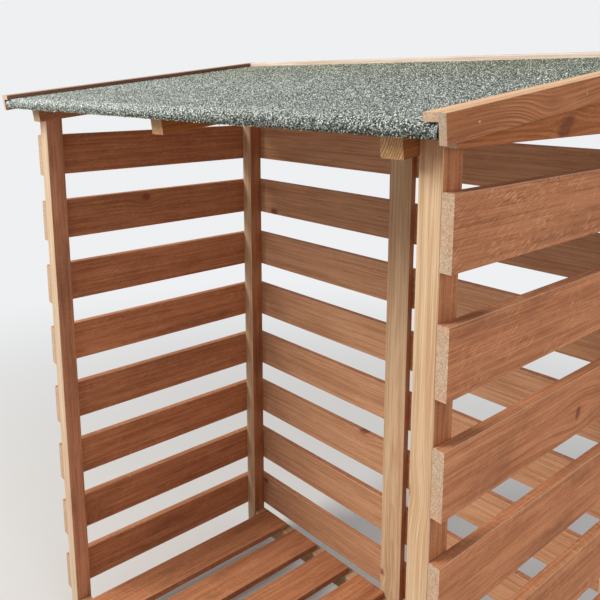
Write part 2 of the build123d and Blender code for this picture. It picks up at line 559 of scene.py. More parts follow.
def run_geometry(source: bpy.types.Object, tree: bpy.types.NodeTree, name: str,
                 inputs: dict[str, object]) -> bpy.types.Object:
    """Run a geometry tree on an object and keep the mesh that it makes.

    Args:
        source: the object that the tree starts from, which is removed.
        tree: the tree.
        name: name of the result.
        inputs: values of the tree's named inputs.

    Returns:
        The new object.
    """
    modifier = source.modifiers.new(name, "NODES")
    modifier.node_group = tree
    for item in tree.interface.items_tree:
        if item.item_type == "SOCKET" and item.in_out == "INPUT" and item.name in inputs:
            modifier[item.identifier] = inputs[item.name]
    data = modified_mesh(source)
    source.modifiers.clear()
    bpy.data.objects.remove(source)
    data.name = name
    return add_object(name, data)


@dataclass(frozen=True)
class Streaks:
    """Noise that is drawn out along the grain, in features to the metre."""

    along: float
    across: float
    detail: float = 2.0
    roughness: float = 0.5

    def show(self, w: Wires, place: Place, seed: Socket) -> Socket:
        """Read the noise.

        Args:
            w: the group's wires.
            place: along, across and through the board.
            seed: where in the noise the board lies.

        Returns:
            A value around 0.5.
        """
        along, across, through = place
        squeezed = w.vector(w.scaled(along, self.along, seed), w.times(across, self.across),
                            w.times(through, self.across))
        return w.blur(squeezed, 1.0, self.detail, self.roughness)


@dataclass(frozen=True)
class SawMarks:
    """Short marks that a saw leaves aslant the grain, in patches.

    Attributes:
        slant: angle of the marks to the grain, in radians.
        fineness: how many of them lie side by side in a metre.
        reseed: what sets them apart from other marks on the same board.
        shortness: how many follow one another, beside how many lie side by side.
        depth: how many lie through the board in a metre.
        patch_along, patch_across: patches to the metre.
        limits, patch_limits: the noise's values where marks and patches start and end.
        between: how strong the marks are between the patches.
    """

    slant: float
    fineness: float
    reseed: float = 0.0
    shortness: float = 0.13
    depth: float = 90.0
    patch_along: float = 22.0
    patch_across: float = 38.0
    limits: Span = (0.49, 0.67)
    patch_limits: Span = (0.35, 0.62)
    between: float = 0.15

    def show(self, w: Wires, place: Place, seed: Socket) -> Socket:
        """Draw the marks.

        Args:
            w: the group's wires.
            place: along, across and through the board.
            seed: the board's seed.

        Returns:
            Mask of the marks.
        """
        along, across, _ = place
        own_seed = w.plus(seed, self.reseed)
        down, beside, deep = w.turned(w.vector(*place), -self.slant)
        marks_at = w.vector(w.scaled(down, self.fineness * self.shortness, own_seed),
                            w.times(beside, self.fineness), w.times(deep, self.depth))
        patch_at = w.vector(w.scaled(along, self.patch_along, own_seed), w.times(across, self.patch_across),
                            own_seed)
        patches = w.ramp(w.blur(patch_at), *self.patch_limits, self.between, 1.0)
        return w.times(w.ramp(w.blur(marks_at, roughness=0.6), *self.limits), patches)


@dataclass(frozen=True)
class Knots:
    """What knots do to a board: masks of the wood and of its rim, and how far the rings bend and part."""

    wood: Socket
    rim: Socket
    pull: Socket
    swerve: Socket


@dataclass
class PineShading:
    """The shader groups for sawn pine, and the materials made from them.

    Attributes:
        ragged: how fine the noise is that roughens a knot's edge.
        speckle: how fine the speckle is.
        wander, fine_fibre, broad_fibre, cloud: noise along the grain.
        scratches, gouges: saw marks that are paler and darker than the wood.
        sway, sway_across, sway_through: how often and how far the whole board bends about its pith.
        wander_across: how far the rings stray from their round.
        taper: how far the pith leaves the board for each metre.
        fibre_follow: how far the fibres follow the bent rings.
        cells_along, cells_across: places for knots by chance, to the metre.
        cell_width: width of such a place in metres.
        largest_knot: the largest of these knots, beside its place.
        relief: how far each pattern raises or sinks the wood, beside bump_depth.
    """

    ragged: float = 160.0
    speckle: float = 480.0
    wander: Streaks = Streaks(1.5, 9.0, detail=3.0)
    fine_fibre: Streaks = Streaks(11.0, 620.0, roughness=0.6)
    broad_fibre: Streaks = Streaks(3.5, 170.0, roughness=0.6)
    cloud: Streaks = Streaks(4.5, 17.0, detail=4.0, roughness=0.6)
    scratches: SawMarks = SawMarks(slant=0.44, fineness=680.0)
    gouges: SawMarks = SawMarks(slant=0.36, fineness=520.0, reseed=7.0)
    sway: float = 0.9
    sway_across: float = 0.04
    sway_through: float = 0.03
    wander_across: float = 0.010
    taper: float = 0.010
    fibre_follow: float = 1.3
    cells_along: float = 3.1
    cells_across: float = 4.6
    cell_width: float = 0.217
    largest_knot: float = 0.042
    relief: dict[str, float] = field(default_factory=lambda: {
        "Rings": 0.12, "Fibre": 0.6, "Scratches": 0.55, "Gouges": -0.45, "Knot": 0.3, "Speckle": 0.5})
    bump_strength: float = 0.35
    bump_depth: float = 0.0005
    gloss: float = 0.35
    deep_tint: Colour = (0.60, 0.58, 0.60)
    light_tint: Colour = (1.42, 1.70, 1.95)
    pale_ring_tint: Colour = (0.62, 0.52, 0.42)
    pale_fibre_tint: Colour = (0.68, 0.57, 0.44)
    heart_tint: Colour = (0.6, 0.55, 0.55)
    end_dark_tint: Colour = (0.42, 0.36, 0.30)
    end_pale_tint: Colour = (1.25, 1.30, 1.38)

    def __post_init__(self) -> None:
        """Build the groups once."""
        self.grain = self.build_grain()
        self.faces = self.build_faces()
        self.colours = self.build_colours()

    def build_grain(self) -> bpy.types.NodeTree:
        """Wood cut from a round trunk: rings about the pith, knots, fibres and saw marks.

        Returns:
            The group. Its vector runs along, across and through the board, from the board's middle.
        """
        w = Group("pine_grain",
                  {Plug.VECTOR: ("Vector", "Pith", "Mark Place", "Mark Size", "Bold Rings"),
                   Plug.NUMBER: ("Seed", "Ring Spacing", "Knots", "Sawing", "Mark Turn", "Mark Pull",
                                 "Mark Swerve")},
                  {Plug.NUMBER: ("Rings", "Bold", "Fibre", "Speckle", "Knot", "Knot Rim", "Cloud",
                                 "Scratches", "Gouges", "Height")})
        seed = w.given["Seed"]
        sawing = w.given["Sawing"]
        place = w.parts(w.given["Vector"])
        along, across, through = place

        ragged = w.minus(w.blur(w.given["Vector"], self.ragged), 0.5)
        by_chance = self.random_knots(w, along, across, ragged)
        chosen = self.chosen_mark(w, along, across, ragged)
        pull = w.plus(by_chance.pull, chosen.pull)
        parted = w.minus(across, w.plus(by_chance.swerve, chosen.swerve))

        fibre_place = (along, w.scaled(pull, self.fibre_follow, parted), through)
        fibre = w.scaled(self.fine_fibre.show(w, fibre_place, seed), 0.5,
                         w.times(self.broad_fibre.show(w, fibre_place, seed), 0.5))
        patterns = {
            "Rings": self.rings(w, place, parted, pull),
            "Bold": self.bold_rings(w, along),
            "Fibre": fibre,
            "Speckle": w.blur(w.given["Vector"], self.speckle, 3.0, 0.75),
            "Knot": w.work("MAXIMUM", by_chance.wood, chosen.wood),
            "Knot Rim": w.work("MAXIMUM", by_chance.rim, chosen.rim),
            "Cloud": self.cloud.show(w, place, w.times(seed, 2.1)),
            "Scratches": w.times(self.scratches.show(w, place, seed), sawing),
            "Gouges": w.times(self.gouges.show(w, place, seed), sawing),
        }
        height = 0.0
        for label, strength in self.relief.items():
            height = w.scaled(patterns[label], strength, height)
        return w.finish(patterns | {"Height": height})

    def rings(self, w: Group, place: Place, parted: Socket, pull: Socket) -> Socket:
        """Year rings about a bowed pith, each pale at first and dark before the next.

        Args:
            w: the group's wires.
            place: along, across and through the board.
            parted: across the board, where knots part the grain.
            pull: how far knots push the rings.

        Returns:
            How dark the ring is.
        """
        along, _, through = place
        seed = w.given["Seed"]
        wander = w.minus(self.wander.show(w, place, seed), 0.5)
        sway_at = w.vector(w.scaled(along, self.sway, w.times(seed, 3.7)), seed, 0.0)
        sway = w.minus(w.blur(sway_at, detail=1.0), 0.5)
        _, pith_across, pith_through = w.parts(w.given["Pith"])
        bowed_across = w.plus(w.plus(parted, pith_across),
                              w.scaled(sway, self.sway_across, w.times(wander, self.wander_across)))
        bowed_through = w.plus(w.plus(through, pith_through),
                               w.scaled(sway, self.sway_through, w.times(along, self.taper)))
        radius = w.work("SQRT", w.plus(w.squared(bowed_across), w.squared(bowed_through)))
        years = w.work("DIVIDE", w.plus(radius, pull), w.given["Ring Spacing"])
        uneven = w.times(w.blur(w.vector(w.times(years, 0.23), seed, 0.0), detail=1.0), 2.2)
        season = w.work("FRACT", w.plus(years, uneven))
        return w.times(w.squared(season), w.left_over(w.ramp(season, 0.90, 1.0)))

    def bold_rings(self, w: Group, along: Socket) -> Socket:
        """How bold the rings are, about the place that is given for bold ones.

        Args:
            w: the group's wires.
            along: along the board.

        Returns:
            Mask of the bold rings.
        """
        middle, length, amount = w.parts(w.given["Bold Rings"])
        away = w.work("DIVIDE", w.minus(along, middle), length)
        return w.times(w.fading(w.squared(away)), amount)

    def random_knots(self, w: Group, along: Socket, across: Socket, ragged: Socket) -> Knots:
        """A few small knots by chance.

        Args:
            w: the group's wires.
            along, across: place on the board.
            ragged: small noise that roughens their edge.

        Returns:
            The knots.
        """
        seed = w.given["Seed"]
        sideways = w.scaled(across, self.cells_across, w.times(seed, 0.61))
        cell_at = w.vector(w.scaled(along, self.cells_along, w.times(seed, 1.37)), sideways, 0.0)
        cells = w.add("ShaderNodeTexVoronoi", {"Scale": 1.0, "Vector": cell_at},
                      voronoi_dimensions="2D", feature="F1")
        near = cells.outputs["Distance"]
        chance = w.parts(cells.outputs["Color"])[0]
        size = w.times(w.given["Knots"], w.ramp(chance, 0.5, 1.0, 0.0, self.largest_knot, smooth=False))
        large_enough = w.ramp(size, 0.004, 0.008)
        rough_near = w.scaled(ragged, 0.016, near)
        edge = w.plus(size, 0.0012)
        wood = w.times(w.left_over(w.ramp(rough_near, w.times(size, 0.75), edge)), large_enough)
        rim = w.times(w.left_over(w.ramp(rough_near, edge, w.scaled(size, 1.5, 0.004))), large_enough)
        fall = w.fading(w.times(w.squared(near), 90.0))
        off_middle = w.times(w.minus(sideways, w.parts(cells.outputs["Position"])[1]), self.cell_width)
        return Knots(wood=wood, rim=w.minus(rim, wood, clamp=True), pull=w.times(fall, w.times(size, 0.12)),
                     swerve=w.times(w.times(off_middle, fall), w.ramp(size, 0.004, 0.012, 0.0, 0.8)))

    def chosen_mark(self, w: Group, along: Socket, across: Socket, ragged: Socket) -> Knots:
        """The one knot or bend whose place is given.

        Args:
            w: the group's wires.
            along, across: place on the board.
            ragged: small noise that roughens its edge.

        Returns:
            The knot.
        """
        place_along, place_across, _ = w.parts(w.given["Mark Place"])
        long, short, reach = w.parts(w.given["Mark Size"])
        away_along = w.minus(along, place_along)
        away_across = w.minus(across, place_across)
        lengthwise, sideways, _ = w.turned(w.vector(away_along, away_across, 0.0),
                                           w.times(w.given["Mark Turn"], -1.0))
        oval = w.work("SQRT", w.plus(w.squared(w.work("DIVIDE", lengthwise, long)),
                                     w.squared(w.work("DIVIDE", sideways, short))))
        rough_oval = w.scaled(ragged, 0.7, oval)
        rim = w.minus(w.ramp(rough_oval, 0.7, 1.0), w.ramp(rough_oval, 1.0, 1.5), clamp=True)
        fall = self.fall_off(w, w.times(away_along, 0.55), away_across, reach)
        trailing = w.times(away_along, w.ramp(away_along, -0.004, 0.012, 0.55, 0.15))
        return Knots(wood=w.left_over(w.ramp(rough_oval, 0.72, 1.08)), rim=rim,
                     pull=w.times(self.fall_off(w, trailing, away_across, reach), w.given["Mark Pull"]),
                     swerve=w.times(w.times(away_across, fall), w.given["Mark Swerve"]))

    def fall_off(self, w: Wires, along: Socket, across: Socket, reach: Socket) -> Socket:
        """A bell-shaped value about a middle.

        Args:
            w: the group's wires.
            along, across: distance from the middle.
            reach: how far it goes.

        Returns:
            One at the middle, near nought beyond the reach.
        """
        spread = w.plus(w.squared(along), w.squared(across))
        return w.fading(w.work("DIVIDE", spread, w.squared(reach)))

    def build_faces(self) -> bpy.types.NodeTree:
        """Masks for end grain, for front and top faces that get painted sunlight, and for eased edges that
        get a painted highlight with some edge wear.

        Returns:
            The group. It reads the surface's own direction and the board's grain direction.
        """
        w = Group("board_faces", {Plug.VECTOR: ("Normal", "Grain"), Plug.NUMBER: ("Top",)},
                  {Plug.NUMBER: ("End", "Sunny", "Arris Highlight")})
        end = w.ramp(w.work("ABSOLUTE", w.dot(w.given["Normal"], w.given["Grain"])), 0.75, 0.9)
        x, y, z = w.parts(w.given["Normal"])
        upward = w.times(w.ramp(z, 0.3, 0.95), w.given["Top"])
        # Painted sunlight: faces that look forward, and faces that look up by the Top share.
        sunny = w.plus(w.ramp(w.times(y, -1.0), 0.3, 0.95), upward, clamp=True)
        steepest = w.work("MAXIMUM", w.work("ABSOLUTE", x), w.work("ABSOLUTE", y))
        steepest = w.work("MAXIMUM", steepest, w.work("ABSOLUTE", z))
        eased = w.left_over(w.ramp(steepest, 0.74, 0.93))
        # Painted highlight, with some edge wear: eased edges that face up and forward.
        arris_highlight = w.times(eased, w.ramp(w.minus(z, w.times(y, 0.6)), -0.1, 0.35))
        return w.finish({"End": end, "Sunny": sunny, "Arris Highlight": arris_highlight})

    def build_colours(self) -> bpy.types.NodeTree:
        """The colour of the timber, from its grain and its faces.

        Returns:
            The group.
        """
        w = Group("pine_colour",
                  {Plug.NUMBER: ("Rings", "Bold", "Fibre", "Speckle", "Knot", "Knot Rim", "Cloud",
                                 "Scratches", "Gouges", "End", "Sunny", "Arris Highlight", "Ring Strength", "Sun Share",
                                 "End Rings"),
                   Plug.COLOUR: ("Early", "Late", "End Grain", "Sunlit", "Knot Colour")},
                  {Plug.COLOUR: ("Colour",)})
        given = w.given
        bold = given["Bold"]
        patchy = w.ramp(given["Cloud"], 0.3, 0.65, 0.5, 1.0)
        showing = w.times(w.work("MAXIMUM", patchy, bold), w.plus(given["Ring Strength"], bold))
        rings = w.times(given["Rings"], showing, clamp=True)
        # Front and top faces mix toward the sunlit colour, as painted sunlight.
        face = w.mix(w.times(given["Sunny"], given["Sun Share"]), self.brown_face(w, rings),
                     self.sunlit_face(w, rings))
        # Eased edges that face up and forward lean toward the sunlit colour: a painted highlight, with some
        # edge wear.
        face = w.mix(w.times(given["Arris Highlight"], 0.5), face, given["Sunlit"])
        face = w.mix(w.times(given["Knot Rim"], 0.5), face, given["Late"])
        heart = w.cover(given["Knot Colour"], w.tinted(given["Knot Colour"], self.heart_tint),
                        given["Fibre"], 0.40, 0.60, 0.7)
        face = w.mix(w.times(given["Knot"], 0.85), face, heart)
        return w.finish({"Colour": w.mix(given["End"], face, self.sawn_end(w))})

    def brown_face(self, w: Group, rings: Socket) -> Socket:
        """A long face that has kept its brown.

        Args:
            w: the group's wires.
            rings: how dark the rings show.

        Returns:
            Its colour.
        """
        given = w.given
        early, late, bold = given["Early"], given["Late"], given["Bold"]
        speckle, cloud = given["Speckle"], given["Cloud"]
        deep = w.tinted(late, self.deep_tint)
        light = w.tinted(early, self.light_tint)
        face = w.cover(early, late, given["Fibre"], 0.40, 0.62, w.scaled(bold, -0.45, 0.95))
        face = w.mix(rings, face, w.mix(w.times(bold, 0.6, clamp=True), late, deep))
        between = w.times(w.left_over(w.ramp(given["Rings"], 0.0, 0.25)), bold)
        face = w.mix(w.times(between, 0.30, clamp=True), face, light)
        for over, mask, low, high, most in (
                (late, speckle, 0.50, 0.72, 0.35), (light, speckle, 0.48, 0.28, 0.22),
                (deep, cloud, 0.52, 0.74, 0.55), (light, cloud, 0.46, 0.28, 0.30)):
            face = w.cover(face, over, mask, low, high, most)
        face = w.mix(w.times(given["Gouges"], 0.5), face, deep)
        return w.mix(w.times(given["Scratches"], 0.85), face, light)

    def sunlit_face(self, w: Group, rings: Socket) -> Socket:
        """A face with painted sunlight.

        Args:
            w: the group's wires.
            rings: how dark the rings show.

        Returns:
            Its colour.
        """
        sunlit = w.given["Sunlit"]
        face = w.mix(w.times(rings, 1.3, clamp=True), sunlit, w.tinted(sunlit, self.pale_ring_tint))
        face = w.cover(face, w.tinted(sunlit, self.pale_fibre_tint), w.given["Fibre"], 0.40, 0.62, 0.85)
        return w.cover(face, w.given["Early"], w.given["Cloud"], 0.45, 0.75, 0.28)

    def sawn_end(self, w: Group) -> Socket:
        """A sawn end, with its rings and its speckle.

        Args:
            w: the group's wires.

        Returns:
            Its colour.
        """
        given = w.given
        plain, speckle = given["End Grain"], given["Speckle"]
        dark = w.tinted(plain, self.end_dark_tint)
        pale = w.tinted(plain, self.end_pale_tint)
        end = w.mix(w.times(given["Rings"], given["End Rings"], clamp=True), plain, dark)
        for over, mask, low, high, most in (
                (dark, given["Fibre"], 0.42, 0.62, 0.45), (dark, speckle, 0.50, 0.70, 0.65),
                (pale, speckle, 0.48, 0.30, 0.75), (given["Early"], given["Cloud"], 0.4, 0.8, 0.4)):
            end = w.cover(end, over, mask, low, high, most)
        return end

    def material(self, name: str, finish: TimberFinish, lie: Lie, corners: tuple[Vector, Vector],
                 seed: int) -> bpy.types.Material:
        """Make the timber of one piece.

        Args:
            name: the piece's name.
            finish: its colours and roughness.
            lie: how its grain runs.
            corners: the piece's lowest and highest corners.
            seed: what makes it differ from its neighbours.

        Returns:
            The material.
        """
        chance = random.Random(seed)
        mark = MARKS.get(name, Mark())
        material, w, shader = start_material(f"pine_{name}")
        coordinates = w.add("ShaderNodeTexCoord").outputs
        turn = lie.turn()
        low, high = corners
        board = w.add("ShaderNodeMapping",
                      {"Vector": coordinates["Object"], "Rotation": turn.to_euler("XYZ"),
                       "Location": -(turn @ ((low + high) / 2))}, vector_type="POINT").outputs[0]

        pith_across = chance.uniform(-0.03, 0.03) if mark.pith_across is None else -mark.pith_across
        pith_through = chance.uniform(0.028, 0.075)
        own_seed = chance.uniform(0, 40)
        ring_spacing = finish.ring_spacing * chance.uniform(0.85, 1.25)
        shade = chance.uniform(0.9, 1.08)
        grain = w.add("ShaderNodeGroup", {
            "Vector": board,
            "Pith": (0.0, pith_across, pith_through),
            "Seed": own_seed,
            "Ring Spacing": ring_spacing,
            "Knots": 0.0 if mark.clear else finish.knots,
            "Sawing": finish.sawing * mark.sawn,
            "Mark Place": (mark.along, mark.across, 0.0),
            "Mark Turn": mark.turn,
            "Mark Size": (mark.long, mark.short, mark.reach),
            "Mark Pull": mark.pull,
            "Mark Swerve": mark.swerve,
            "Bold Rings": (mark.bold_along, mark.bold_length, mark.bold),
        }, node_tree=self.grain).outputs
        faces = w.add("ShaderNodeGroup",
                      {"Normal": coordinates["Normal"], "Grain": turn[0], "Top": finish.top_sun},
                      node_tree=self.faces).outputs
        # Share of painted sunlight on the front and top faces.
        sun_share = finish.sun_share
        # Painted shadow of the eaves: less painted sunlight near the top of a post.
        if finish.eaves_shadow > 0:
            top = (high.z - low.z) / 2
            sun_share = w.ramp(w.parts(board)[0], top - finish.eaves_shadow, top - 0.4 * finish.eaves_shadow,
                            finish.sun_share, 0.45 * finish.sun_share)
        patterns = {socket.name: socket for socket in (*grain, *faces) if socket.name != "Height"}
        colours = w.add("ShaderNodeGroup", patterns | {
            "Early": tuple(channel * shade for channel in finish.early),
            "Late": tuple(channel * shade for channel in finish.late),
            "End Grain": finish.end_grain,
            "Sunlit": finish.sunlit,
            "Knot Colour": finish.knot,
            "Ring Strength": finish.ring_strength,
            "End Rings": finish.end_rings,
            "Sun Share": sun_share,
        }, node_tree=self.colours)
        w.feed(shader.inputs["Base Color"], colours.outputs["Colour"])
        w.feed(shader.inputs["Roughness"],
               w.ramp(grain["Fibre"], 0.3, 0.8, finish.roughness - 0.1, finish.roughness + 0.12,
                      smooth=False))
        w.feed(shader.inputs["Specular IOR Level"], self.gloss)
        w.feed(shader.inputs["Normal"], w.bump(grain["Height"], self.bump_strength, self.bump_depth))
        return material


@dataclass
class TimberWork:
    """Every carried-over timber node and the finish that it gets, by the first part of its name."""

    shading: PineShading
    first_seed: int = 11
    seed_step: int = 7
    finishes: dict[str, tuple[TimberFinish, Lie]] = field(default_factory=lambda: {
        "post_front_left": (LEFT_LIGHTING_POST_TIMBER, Lie.UPRIGHT),
        "post_": (POST_TIMBER, Lie.UPRIGHT),
        "back_batten": (FRAME_TIMBER, Lie.UPRIGHT),
        "side_rail_": (RAIL_TIMBER, Lie.SIDE_WALL),
        "side_board_": (BOARD_TIMBER, Lie.SIDE_WALL),
        "back_boards": (BOARD_TIMBER, Lie.BACK_WALL),
        "back_rail": (RAIL_TIMBER, Lie.BACK_WALL),
        "floor_beam_": (FRAME_TIMBER, Lie.BACK_WALL),
        "floor_slats": (BOARD_TIMBER, Lie.FLOOR),
        "roof_bearer_left": (LEFT_LIGHTING_BEARER_TIMBER, Lie.ROOF_EDGE),
        "roof_bearer_": (BEARER_TIMBER, Lie.ROOF_EDGE),
        "deck_board_": (DECK_TIMBER, Lie.ROOF_LENGTH),
        "barge_board_left": (LEFT_LIGHTING_TRIM_TIMBER, Lie.ROOF_EDGE),
        "barge_board_": (TRIM_TIMBER, Lie.ROOF_EDGE),
        "barge_batten_left": (LEFT_LIGHTING_BATTEN_TIMBER, Lie.ROOF_FLAT),
        "barge_batten_": (BATTEN_TIMBER, Lie.ROOF_FLAT),
        "rear_batten": (REAR_TIMBER, Lie.ROOF_LENGTH),
    })

    def dress(self, nodes: dict[str, bpy.types.Object]) -> None:
        """Give each timber node its own board of pine.

        Args:
            nodes: the frame's objects by name.
        """
        for count, (name, thing) in enumerate(sorted(nodes.items())):
            known = [pair for prefix, pair in self.finishes.items() if name.startswith(prefix)]
            if known:
                finish, lie = known[0]
                seed = self.first_seed + self.seed_step * count
                thing.data.materials.clear()
                thing.data.materials.append(self.shading.material(name, finish, lie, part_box(name), seed))
                log.info("timber %s: %s", name, lie.name.lower())


@dataclass(frozen=True)
class Strewing:
    """One band of loose granules on the felt.

    Attributes:
        name: name of its piece.
        upper, lower: how far up the slope from the eaves it reaches, and where it starts, in metres.
        density: granules to the square metre.
        size: their radius.
    """

    name: str
    upper: float
    lower: float
    density: float
    size: float


@dataclass(frozen=True)
class Stripe:
    """A stripe along the roof: where it starts and where it ends, in metres up from the eaves."""

    rise: Span
    fall: Span

    def mask(self, w: Wires, distance: Socket) -> Socket:
        """Mask of the stripe, for a distance up from the eaves."""
        return w.times(w.ramp(distance, *self.rise), w.ramp(distance, *reversed(self.fall)))


@dataclass
class RoofCover:
    """The felt sheet over the deck and its granules, laid out on the slope of the roof.

    Attributes:
        thickness, clearance: the sheet, and what it leaves free above the deck.
        drip_below_top: how far its drip edge hangs below its top.
        cad_nose_radius, nose_radius: radius of the turned-down front as the CAD has it, and as it shows.
        nose_steps, lip_steps: facets of the nose and of the lip below it.
        tuck, tuck_curve: how far the lip leads back under the deck, and how late.
        end_gap: what is free between the felt and each barge board.
        column, row: size of the sheet's facets.
        ripple, still_edge, ripple_start: how uneven the felt is, and how far in from its edges that starts.
        drip_waver: how uneven its drip edge is.
        seat: how far the granules sink in.
        slope_light_tones, crest_highlight_tones: painted light on the slope and painted highlight on the line
            before the nose, left and right.
        drip_shade_tones: painted shade at the drip edge, and the brightness on the slope.
        hollow_shade, crest_highlight, front_highlight: stripes of the slope with painted shade, a painted
        highlight, and a further painted highlight on the left.
        bands: the strewings.
    """

    finish: FeltFinish = FeltFinish()
    thickness: float = 0.003
    clearance: float = 0.0004
    drip_below_top: float = 0.017
    cad_nose_radius: float = 0.009
    nose_radius: float = 0.0115
    nose_steps: int = 8
    lip_steps: int = 4
    tuck: float = 0.0026
    tuck_curve: float = 1.7
    end_gap: float = 0.0030
    column: float = 0.012
    row: float = 0.012
    ripple: float = 0.0006
    still_edge: float = 0.02
    ripple_start: float = 0.04
    drip_waver: float = 0.0007
    seat: float = 0.0003
    slope_light_tones: Span = (1.09, 0.90)
    crest_highlight_tones: Span = (1.42, 1.22)
    drip_shade_tones: Span = (0.68, 1.05)
    clump_tones: Span = (0.68, 1.28)
    hollow_shade: Stripe = Stripe((0.07, 0.12), (0.15, 0.22))
    hollow_shade_depth: float = 0.13
    crest_highlight: Stripe = Stripe((0.0, 0.006), (0.014, 0.042))
    front_highlight: Stripe = Stripe((-0.001, 0.002), (0.007, 0.022))
    front_highlight_gain: float = 0.75
    bands: tuple[Strewing, ...] = (
        Strewing("felt_granules_eaves", 0.11, -1.0, 280000.0, 0.00090),
        Strewing("felt_granules_middle", 0.29, 0.11, 165000.0, 0.00100),
        Strewing("felt_granules_rear", 1.0, 0.29, 85000.0, 0.00114),
    )

    def __post_init__(self) -> None:
        """Find the felt's rear top edge, its half length and its front from the frame."""
        low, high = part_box("roof_felt")
        self.half = (high.x - low.x) / 2 - self.end_gap
        self.rear_top = Vector((0.0, high.y - self.thickness * math.sin(ROOF_FALL), high.z))
        reach = self.rear_top.y - low.y + self.cad_nose_radius * math.sin(ROOF_FALL)
        self.front_run = reach / math.cos(ROOF_FALL)

    def on_roof(self, x: float, run: float, lift: float) -> Vector:
        """Place on the roof.

        Args:
            x: along the front.
            run: down the slope from the felt's rear top edge.
            lift: above the felt's top.

        Returns:
            The place in the frame.
        """
        place = self.rear_top - Vector(UP_THE_ROOF) * run + Vector(OFF_THE_ROOF) * lift
        place.x = x
        return place

    def profile(self) -> list[Span]:
        """Outer line of the felt from its rear edge to the drip edge, as (run, lift).

        Returns:
            The points: the flat, the round nose, and a lip that tucks in under the deck.
        """
        nose_start = self.front_run - self.nose_radius
        rows = max(2, round(nose_start / self.row))
        line = [(nose_start * index / rows, 0.0) for index in range(rows + 1)]
        for step in range(1, self.nose_steps + 1):
            angle = math.pi / 2 * step / self.nose_steps
            line.append((nose_start + self.nose_radius * math.sin(angle),
                         self.nose_radius * (math.cos(angle) - 1.0)))
        lip = self.drip_below_top - self.nose_radius
        for step in range(1, self.lip_steps + 1):
            share = step / self.lip_steps
            line.append((self.front_run - self.tuck * share ** self.tuck_curve,
                         -self.nose_radius - lip * share))
        return line

    def outer_face(self, x: float, run: float, lift: float) -> Vector:
        """Place on the felt's outer face, which lies a little unevenly away from its edges.

        Args:
            x: along the front.
            run: down the slope from the felt's rear top edge.
            lift: above the felt's top.

        Returns:
            The place in the frame.
        """
        nearest_edge = min(self.half - abs(x), run)
        inside = min(1.0, max(0.0, (nearest_edge - self.still_edge) / self.ripple_start))
        swell = inside * self.ripple * (noise.noise(Vector((x * 8.0, run * 6.0, 0.3))) - 0.4)
        foot = 0.0
        if lift <= -self.drip_below_top + 1e-6:
            foot = self.drip_waver * noise.noise(Vector((x * 55.0, 1.7, 0.0)))
        return self.on_roof(x, run, lift + swell + foot)

    def lay(self, name: str, line: list[Span], sunk: float) -> bpy.types.Object:
        """Sweep a line along the front into a surface.

        Args:
            name: name of the surface.
            line: its outer line as (run, lift).
            sunk: how far it lies below the felt's outer face.

        Returns:
            The surface.
        """
        columns = round(2 * self.half / self.column)
        mesh = bmesh.new()
        grid = []
        for index in range(columns + 1):
            x = -self.half + 2 * self.half * index / columns
            grid.append([mesh.verts.new(self.outer_face(x, run, lift) - Vector(OFF_THE_ROOF) * sunk)
                         for run, lift in line])
        for left, right in zip(grid, grid[1:]):
            for upper in range(len(line) - 1):
                mesh.faces.new((left[upper], left[upper + 1], right[upper + 1], right[upper]))
        return finish_mesh(name, mesh)

    def build_sheet(self) -> bpy.types.Object:
        """The felt as one closed sheet.

        Returns:
            The object.
        """
        sheet = self.lay("felt_sheet", self.profile(), 0.0)
        wall = sheet.modifiers.new("wall", "SOLIDIFY")
        wall.thickness = self.thickness - self.clearance
        wall.offset = -1.0
        wall.use_even_offset = True
        walled = modified_mesh(sheet)
        sheet.modifiers.clear()
        sheet.data = walled
        return sheet

    def band_surface(self, band: Strewing) -> bpy.types.Object:
        """The part of the felt's outer face that one band of granules lies on.

        Args:
            band: the band.

        Returns:
            A bare surface.
        """
        upper = self.front_run - band.upper - self.row / 2
        lower = self.front_run - band.lower + self.row / 2
        line = [point for point in self.profile() if upper <= point[0] <= lower]
        return self.lay(band.name + "_bed", line, self.seat)

    def granule_tree(self) -> bpy.types.NodeTree:
        """Geometry tree that strews small four-sided stones over a surface.

        Returns:
            The tree.
        """
        w = Group("granules",
                  {Plug.SHAPE: ("Surface",), Plug.NUMBER: ("Size", "Density"), Plug.WHOLE: ("Seed",),
                   Plug.MATERIAL: ("Finish",)}, {Plug.SHAPE: ("Granules",)}, kind="GeometryNodeTree")
        spread = w.add("GeometryNodeDistributePointsOnFaces",
                       {"Mesh": w.given["Surface"], "Density": w.given["Density"], "Seed": w.given["Seed"]},
                       distribute_method="RANDOM")
        stone = w.add("GeometryNodeMeshCone",
                      {"Vertices": 4, "Radius Top": 0.0, "Radius Bottom": w.given["Size"],
                       "Depth": w.times(w.given["Size"], 1.5)}, fill_type="NONE")
        turned = w.add("FunctionNodeRandomValue", {0: (-0.7, -0.7, 0.0), 1: (0.7, 0.7, 6.28)},
                       data_type="FLOAT_VECTOR")
        size = w.add("FunctionNodeRandomValue", {0: (0.6, 0.6, 0.5), 1: (1.5, 1.3, 1.35)},
                     data_type="FLOAT_VECTOR")
        tilt = w.add("FunctionNodeRotateRotation", {0: spread.outputs["Rotation"], 1: turned.outputs[0]},
                     rotation_space="LOCAL")
        stones = w.add("GeometryNodeInstanceOnPoints",
                       {"Points": spread.outputs["Points"], "Instance": stone.outputs["Mesh"],
                        "Rotation": tilt.outputs[0], "Scale": size.outputs[0]})
        shade = w.add("FunctionNodeRandomValue", data_type="FLOAT")
        shaded = w.add("GeometryNodeStoreNamedAttribute",
                       {"Geometry": stones.outputs[0], "Name": "stone_shade", "Value": shade.outputs[1]},
                       data_type="FLOAT", domain="INSTANCE")
        return w.finish_shape("Granules", shaded.outputs[0])

